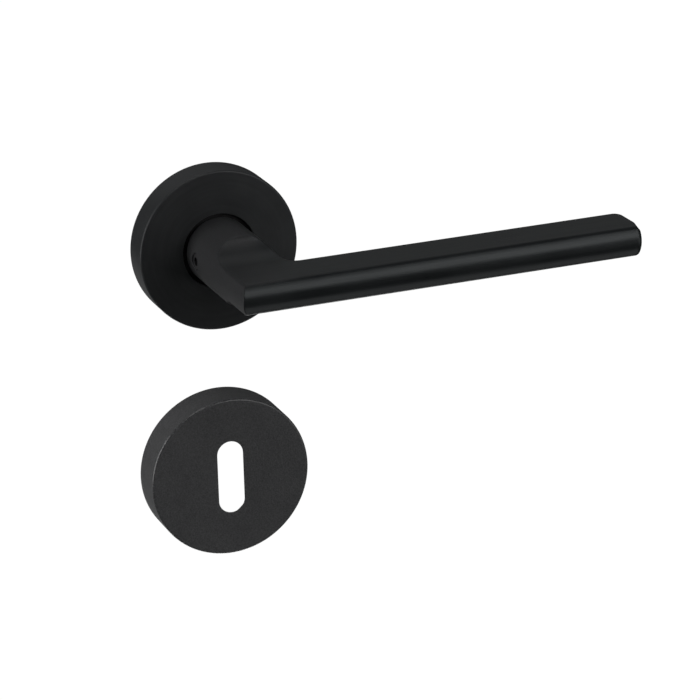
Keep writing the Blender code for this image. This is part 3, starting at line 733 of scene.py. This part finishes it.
def make_rose_base():
    c0, c1, floor = CHANNEL
    outline = [
        (9.7, 3.2), (10.9, 3.2), (10.9, 0), (BASE_R, 0), (BASE_R, 1.1), (22.75, 1.1), (22.75, 2.5), (BASE_R, 2.5),
        (BASE_R, PLATE_T), (c1, PLATE_T), (c1, floor), (c0, floor), (HUB_R, HUB_TOP), (9.7, HUB_TOP),
    ]
    radii = [0.1, 0, 0.25, 0.3, 0.1, 0.12, 0.12, 0.1, 0.4, 0.2, 0.25, 0.25, 0.25, 0.2]
    base = lathe("rose_base_plate", rounded(outline, radii, 3), ZINC, 192)
    countersunk_holes(base, 0.0)
    a = 205.0
    ca, sa = math.cos(math.radians(a)), math.sin(math.radians(a))
    slot = [(r * ca - s * sa, r * sa + s * ca) for r, s in ((13.2, -0.95), (17.6, -0.95), (17.6, 0.95), (13.2, 0.95))]
    combine(base, plate_y("slot", slot, floor, 8.0, ZINC), "DIFFERENCE")
    for angle in pin_angles():
        x = PIN_CIRCLE * math.cos(math.radians(angle))
        z = PIN_CIRCLE * math.sin(math.radians(angle))
        tool = lathe("pin_hole", [(0, 0.8), (PIN_R + 0.12, 0.8), (PIN_R + 0.12, 8.0), (0, 8.0)], ZINC, 32, x, z)
        combine(base, tool, "DIFFERENCE")
    for s in (-1, 1):
        spigot = lathe(
            "spigot",
            rounded([(0, -7.0), (2.6, -7.0), (2.6, 1.2), (0, 1.2)], [0, 0.6, 0, 0], 5),
            ZINC, 48, 0.0, s * 19.0,
        )
        combine(base, spigot, "UNION")
    return place(base, "mounting", "rose_base", "zinc")


def make_escutcheon_base():
    outline = [
        (8.0, 0), (BASE_R, 0), (BASE_R, 1.1), (22.75, 1.1), (22.75, 2.5), (BASE_R, 2.5), (BASE_R, PLATE_T), (8.0, PLATE_T),
    ]
    radii = [0, 0.3, 0.1, 0.12, 0.12, 0.1, 0.4, 0]
    base = lathe("escutcheon_base_plate", rounded(outline, radii, 3), ZINC, 192, cz=ESC_Z)
    oval = arc(0, 8.0, 10.2, 0, 180, 48) + arc(0, -8.0, 10.2, 180, 360, 48)
    combine(base, plate_y("way", oval, -3, 9, ZINC, 0, ESC_Z), "DIFFERENCE")
    countersunk_holes(base, ESC_Z)
    return place(base, "mounting", "escutcheon_base", "zinc")


def make_pins():
    for node, angle in zip(("rest_stop_pin", "travel_stop_pin"), pin_angles()):
        x = PIN_CIRCLE * math.cos(math.radians(angle))
        z = PIN_CIRCLE * math.sin(math.radians(angle))
        pin = lathe(node + "_dowel", rounded([(0, 1.1), (PIN_R, 1.1), (PIN_R, 6.85), (0, 6.85)], [0, 0.2, 0.35, 0], 4), BRIGHT, 48, x, z)
        place(pin, "mounting", node, "bright_steel")


def make_bush():
    outline = [(8.3, 3.5), (9.4, 3.5), (9.4, 6.2), (11.7, 6.2), (11.7, 7.0), (8.3, 7.0)]
    bush = lathe("neck_bush_sleeve", rounded(outline, [0.12, 0.2, 0.15, 0.15, 0.15, 0.2], 3), BUSH, 128)
    return place(bush, "mounting", "neck_bush", "nylon")


def make_return_spring():
    wire = SPRING_WIRE / 2
    d0, d1 = CHANNEL[2] + GAP + wire, 6.35
    a_rear = 205.0
    lug_side = math.degrees((LUG_W / 2 + GAP + wire) / 15.0)
    a_front = REST_ANGLE - lug_side + 720.0
    pts = []
    for r in (16.9, 16.0, 15.2, 14.5):
        pts.append((r * math.cos(math.radians(a_rear)), -d0, r * math.sin(math.radians(a_rear))))
    turns = 220
    for k in range(turns + 1):
        f = k / turns
        angle = a_rear + 3.0 + (a_front - a_rear - 6.0) * f
        bend = min(1.0, f * 40.0, (1.0 - f) * 40.0)
        r = SPRING_R + 1.0 * (1.0 - math.sin(bend * math.pi / 2))
        d = d0 + (d1 - d0) * min(max((f - 0.04) / 0.92, 0.0), 1.0)
        pts.append((r * math.cos(math.radians(angle)), -d, r * math.sin(math.radians(angle))))
    for r in (14.5, 15.0, 15.6):
        pts.append((r * math.cos(math.radians(a_front)), -d1, r * math.sin(math.radians(a_front))))
    spring = rod("return_spring_coil", pts, wire, SPRING, 16)
    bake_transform(spring)
    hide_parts("return_spring")
    return spring


def make_clip_ring(node, cz):
    pts = []
    for k in range(181):
        a = math.radians(-75.0 + 330.0 * k / 180)
        pts.append((23.42 * math.cos(a), -1.8, cz + 23.42 * math.sin(a)))
    return place(rod(node + "_wire", pts, 0.4, SPRING, 14), "mounting", node, "spring_steel")


def make_screw(node, x, cz):
    """Countersunk wood screw with a rolled thread and a cross recess."""
    n, rows = 40, []
    for r, d in ((0, 3.15), (3.0, 3.15), (3.14, 3.11), (3.2, 3.02), (3.2, 2.92), (3.1, 2.8), (1.75, 1.4), (1.55, 1.05), (1.45, 0.5)):
        rows.append(circle(r, d, n, x, cz))
    pitch, top, tip = 1.5, 0.0, -12.8
    count = 150
    for i in range(count):
        d = top + (tip - top) * i / count
        left = (d - tip) / 3.4
        core = 1.12 * min(1.0, left) ** 0.8 if left < 1 else 1.12
        crest = 1.68 * min(1.0, left) ** 0.6 if left < 1 else 1.68
        grow = min(1.0, i / 12)
        row = []
        for k in range(n):
            a = 2 * math.pi * k / n
            phase = (d / pitch + a / (2 * math.pi)) % 1.0
            tooth = max(0.0, 1.0 - abs(phase - 0.5) / 0.26)
            r = core + (crest - core) * tooth * grow
            r = max(r, 1.42 * (1 - grow))
            row.append((x + r * math.cos(a), -d, cz + r * math.sin(a)))
        rows.append(row)
    rows.append([(x, -tip, cz)])
    screw = rings(node + "_threaded", rows, SCREW, False, 40)
    w, length = 0.42, 1.75
    outline = [
        (w, w), (w, length), (-w, length), (-w, w), (-length, w), (-length, -w),
        (-w, -w), (-w, -length), (w, -length), (w, -w), (length, -w), (length, w),
    ]
    rows = []
    for d, k in ((1.5, 0.42), (2.2, 0.72), (3.3, 1.0), (5.0, 1.2)):
        rows.append([(x + u * (k if abs(u) > w + 0.1 else 0.8 + 0.2 * k), -d, cz + v * (k if abs(v) > w + 0.1 else 0.8 + 0.2 * k)) for u, v in outline])
    combine(screw, stack("recess", rows, SCREW), "DIFFERENCE", 40)
    return place(screw, "mounting", node, "plated_screw")


# ---------------------------------------------------------------- what turns with the lever, inside
def make_grub_screw():
    """Set screw along X with a hexagon socket, a fine thread and a cupped point."""
    n, rows = 48, []

    def loop(x, r):
        return [(x, -GRUB_D + r * math.cos(2 * math.pi * k / n), r * math.sin(2 * math.pi * k / n)) for k in range(n)]

    crest = GRUB_R + 0.26
    rows.append([(-9.95, -GRUB_D, 0.0)])
    rows.append(loop(-9.95, crest - 0.22))
    rows.append(loop(-9.9, crest - 0.12))
    for i in range(60):
        x = -9.85 + 4.83 * i / 59
        fade = min(1.0, i / 6, (59 - i) / 6)
        row = []
        for k in range(n):
            a = 2 * math.pi * k / n
            phase = (x / 0.8 + a / (2 * math.pi)) % 1.0
            r = crest - 0.38 + 0.38 * max(fade * (1 - abs(phase - 0.5) * 2), 0.7 * max(0.0, 1 - i / 5))
            row.append((x, -GRUB_D + r * math.cos(a), r * math.sin(a)))
        rows.append(row)
    rows.append(loop(-4.65, GRUB_R - 0.9))
    rows.append(loop(-4.6, GRUB_R - 1.1))
    rows.append([(-4.95, -GRUB_D, 0.0)])
    screw = rings("grub_screw_socket", rows, GRUB, False, 40)
    hexagon = [(GRUB_D + 1.44 * math.cos(math.radians(60 * k)), 1.44 * math.sin(math.radians(60 * k))) for k in range(6)]
    combine(screw, bar_x("socket", hexagon, -12.0, -7.2, GRUB), "DIFFERENCE", 40)
    return place(screw, "lever", "grub_screw", "black_steel")


def make_spindle():
    h, c = SPINDLE / 2, 0.45
    front, back = SPINDLE_D

    def section(s):
        square = [(-s, -s), (s, -s), (s, s), (-s, s)]
        return rounded(square, c, 4)

    rows = []
    for d, s in (
        (front, h - 0.7), (front - 0.25, h - 0.3), (front - 0.7, h - 0.04), (front - 1.0, h),
        (back + 1.0, h), (back + 0.7, h - 0.04), (back + 0.25, h - 0.3), (back, h - 0.7),
    ):
        rows.append([(x, -d, z) for x, z in section(s)])
    spindle = stack("square_spindle_bar", rows, BRIGHT)
    groove = plate_y(
        "groove", [(-1.9, -6.0), (1.9, -6.0), (1.9, -h + 1.3), (-1.9, -h + 1.3)], 3.0, 27.0, BRIGHT
    )
    combine(spindle, groove, "DIFFERENCE")
    return place(spindle, "lever", "square_spindle", "bright_steel")


def make_spindle_clip():
    half, t, n = 1.6, 0.35, 48
    top, low = [], []
    for k in range(n + 1):
        d = 3.5 + 23.0 * k / n
        z = -SPINDLE / 2 + 0.9 - 0.55 * math.sin(math.pi * k / n)
        top.append((d, z))
        low.append((d, z - t))
    clip = bar_x("spindle_clip_leaf", top + list(reversed(low)), -half, half, SHEET)
    bevel(clip, 0.07)
    return place(clip, "lever", "spindle_clip", "spring_steel")


def make_circlip():
    inner, outer = JOURNAL_R - 0.9 + GAP, 9.3
    a0, a1, ear = 290.0, 610.0, 10.4
    e1, e0 = math.radians(a1), math.radians(a0)
    outline = arc(0, 0, outer, a0 + 12, a1 - 12, 120)
    outline += [(ear * math.cos(e1 - 0.17), ear * math.sin(e1 - 0.17)), (ear * math.cos(e1 - 0.03), ear * math.sin(e1 - 0.03))]
    outline += arc(0, 0, inner, a1, a0, 120)
    outline += [(ear * math.cos(e0 + 0.03), ear * math.sin(e0 + 0.03)), (ear * math.cos(e0 + 0.17), ear * math.sin(e0 + 0.17))]
    ring = plate_y("circlip_ring", outline, 1.05, 1.95, SHEET)
    for e in (e1 - 0.1, e0 + 0.1):
        x, z = 9.2 * math.cos(e), 9.2 * math.sin(e)
        tool = lathe("eye", [(0, 0), (0.55, 0), (0.55, 3), (0, 3)], SHEET, 24, x, z)
        combine(ring, tool, "DIFFERENCE")
    bevel(ring, 0.08)
    return place(ring, "lever", "circlip", "spring_steel")


def make_wave_washer():
    count, r0, r1, t = 144, 8.35, 10.3, 0.28
    rows = []
    for k in range(count):
        a = 2 * math.pi * k / count
        d = 2.46 + 0.12 * math.cos(3 * a)
        sec = rounded([(r0, d), (r1, d), (r1, d + t), (r0, d + t)], 0.07, 2)
        rows.append([(r * math.cos(a), -dd, r * math.sin(a)) for r, dd in sec])
    washer = rings("wave_washer_ring", rows, SHEET, True, 40)
    return place(washer, "lever", "wave_washer", "spring_steel")


def make_driver():
    d0, d1 = 7.3, 8.45
    a = REST_ANGLE
    half = math.degrees(LUG_W / 2 / LUG_R[1])
    flare = 24.0
    outline = arc(0, 0, 12.6, a + flare, a + 360 - flare, 120)
    outline += arc(0, 0, LUG_R[1], a + 360 - half, a + 360 + half, 6)
    driver = plate_y("spring_driver_plate", outline, d0, d1, DRIVER)
    ca, sa = math.cos(math.radians(a)), math.sin(math.radians(a))
    w = LUG_W / 2
    r0, r1 = LUG_R
    lug = [(r * ca - s * sa, r * sa + s * ca) for r, s in ((r0, -w), (r1, -w), (r1, w), (r0, w))]
    combine(driver, plate_y("lug", lug, 4.2, d1 - 0.35, DRIVER), "UNION")
    r, f = JOURNAL_R + GAP, KEY_FLAT + GAP
    t = math.degrees(math.asin(f / r))
    hole = arc(0, 0, r, -t, t, 48) + arc(0, 0, r, 180 - t, 180 + t, 48)
    combine(driver, plate_y("key", hole, 0.0, 20.0, DRIVER), "DIFFERENCE")
    bevel(driver, 0.12)
    return place(driver, "lever", "spring_driver", "black_steel")


make_lever()
make_rose_cover()
make_escutcheon_cover()
make_rose_base()
make_escutcheon_base()
make_pins()
make_bush()
make_return_spring()
make_clip_ring("rose_clip_ring", 0.0)
make_clip_ring("escutcheon_clip_ring", ESC_Z)
make_screw("rose_screw_left", -SCREW_X, 0.0)
make_screw("rose_screw_right", SCREW_X, 0.0)
make_screw("escutcheon_screw_left", -SCREW_X, ESC_Z)
make_screw("escutcheon_screw_right", SCREW_X, ESC_Z)
make_grub_screw()
make_spindle()
make_spindle_clip()
make_circlip()
make_wave_washer()
make_driver()


# ---------------------------------------------------------------- stage, light and camera
def emitter(name, strength):
    m = bpy.data.materials.new(name)
    m.use_nodes = True
    t = m.node_tree
    t.nodes.clear()
    out = t.nodes.new("ShaderNodeOutputMaterial")
    e = t.nodes.new("ShaderNodeEmission")
    e.inputs[0].default_value = (1.0, 1.0, 1.0, 1.0)
    e.inputs[1].default_value = strength
    t.links.new(e.outputs[0], out.inputs["Surface"])
    return m


def make_stage():
    """A plain white floor that sweeps up into a plain white surround; it lights nothing."""
    bm = bmesh.new()
    n, low = 96, -0.60
    profile = [(0.0, 0.0), (2.0, 0.0), (4.0, 0.0)]
    profile += [(4.0 + 1.5 * math.sin(a), 1.5 - 1.5 * math.cos(a)) for a in [math.radians(15 * i) for i in range(1, 7)]]
    profile += [(5.5, 3.0), (5.2, 4.2), (4.4, 5.2), (3.0, 5.9), (1.5, 6.2), (0.0, 6.3)]
    rows = []
    for r, z in profile:
        if r == 0.0:
            rows.append([bm.verts.new((0, 0, low + z))] * n)
        else:
            rows.append([bm.verts.new((r * math.cos(2 * math.pi * k / n), r * math.sin(2 * math.pi * k / n), low + z)) for k in range(n)])
    for a, b in zip(rows, rows[1:]):
        for k in range(n):
            quad = []
            for v in (a[k], a[(k + 1) % n], b[(k + 1) % n], b[k]):
                if v not in quad:
                    quad.append(v)
            bm.faces.new(quad)
    mesh = bpy.data.meshes.new("floor")
    bm.to_mesh(mesh)
    bm.free()
    mesh.materials.append(emitter("white_sweep", 1.02))
    mesh.shade_smooth()
    floor = bpy.data.objects.new("floor", mesh)
    bpy.context.scene.collection.objects.link(floor)
    floor.visible_diffuse = False
    floor.visible_glossy = False
    floor.visible_transmission = False
    floor.visible_shadow = False


def softbox(name, azimuth, elevation, distance, width, height, radiance, target=(0.04, -0.03, -0.03), roll=0.0):
    """A soft area light; azimuth 0 is in front of the door, 90 on the grip's side. radiance is what its face shows."""
    a, e = math.radians(azimuth), math.radians(elevation)
    way = Vector((math.sin(a) * math.cos(e), -math.cos(a) * math.cos(e), math.sin(e)))
    light = bpy.data.lights.new(name, "AREA")
    light.shape = "RECTANGLE"
    light.size, light.size_y = width, height
    light.energy = radiance * math.pi * width * height
    obj = bpy.data.objects.new(name, light)
    obj.location = Vector(target) + way * distance
    q = way.to_track_quat("Z", "Y")
    obj.rotation_mode = "QUATERNION"
    obj.rotation_quaternion = q @ Matrix.Rotation(math.radians(roll), 4, "Z").to_quaternion()
    obj.visible_camera = False
    bpy.context.scene.collection.objects.link(obj)
    return obj


def make_light():
    world = bpy.data.worlds.new("studio")
    bpy.context.scene.world = world
    world.use_nodes = True
    bg = world.node_tree.nodes["Background"]
    bg.inputs[0].default_value = (0.93, 1.0, 1.0, 1.0)
    bg.inputs[1].default_value = 0.022
    softbox("key_box", 34, 25, 2.0, 1.6, 1.05, 1.34)
    softbox("right_fill", 50, -6, 2.0, 1.3, 0.9, 0.62)
    softbox("top_box", -30, 70, 2.0, 1.4, 0.8, 1.1)
    softbox("left_box", -98, 8, 1.8, 1.0, 1.6, 2.1)
    softbox("back_box", 165, 22, 2.2, 2.8, 0.6, 0.13)
    softbox("back_high_box", 165, 44, 2.2, 2.6, 0.8, 0.17)
    softbox("back_low_box", -155, -30, 2.0, 2.0, 0.9, 0.17)
    softbox("back_top_box", -175, 66, 2.1, 1.6, 0.8, 0.42)
    softbox("back_under_box", 178, -62, 1.9, 1.6, 0.8, 2.3)
    softbox("low_box", 42, -60, 1.8, 1.3, 0.8, 0.46)


def make_camera():
    """A long lens, 21 degrees to the left of the spindle's axis and 20 degrees above it."""
    phi, theta, rho = math.radians(21.39), math.radians(19.81), math.radians(-1.55)
    right = Vector((math.cos(phi), -math.sin(phi), 0.0))
    up = Vector((math.sin(phi) * math.sin(theta), math.cos(phi) * math.sin(theta), math.cos(theta)))
    ahead = Vector((math.sin(phi) * math.cos(theta), math.cos(phi) * math.cos(theta), -math.sin(theta)))
    r2 = math.cos(rho) * right + math.sin(rho) * up
    u2 = -math.sin(rho) * right + math.cos(rho) * up
    data = bpy.data.cameras.new("camera")
    data.lens, data.sensor_width, data.sensor_fit = 163.12, 36.0, "HORIZONTAL"
    data.clip_start, data.clip_end = 0.01, 20.0
    cam = bpy.data.objects.new("camera", data)
    back = -ahead
    cam.matrix_world = Matrix(
        (
            (r2.x, u2.x, back.x, -0.2951),
            (r2.y, u2.y, back.y, -0.8683),
            (r2.z, u2.z, back.z, 0.2939),
            (0, 0, 0, 1),
        )
    )
    bpy.context.scene.collection.objects.link(cam)
    bpy.context.scene.camera = cam


make_stage()
make_light()
make_camera()
scene = bpy.context.scene
scene.view_settings.view_transform = "Standard"
scene.view_settings.look = "None"
scene.view_settings.exposure = 0.0
scene.view_settings.gamma = 1.0
scene.render.film_transparent = False
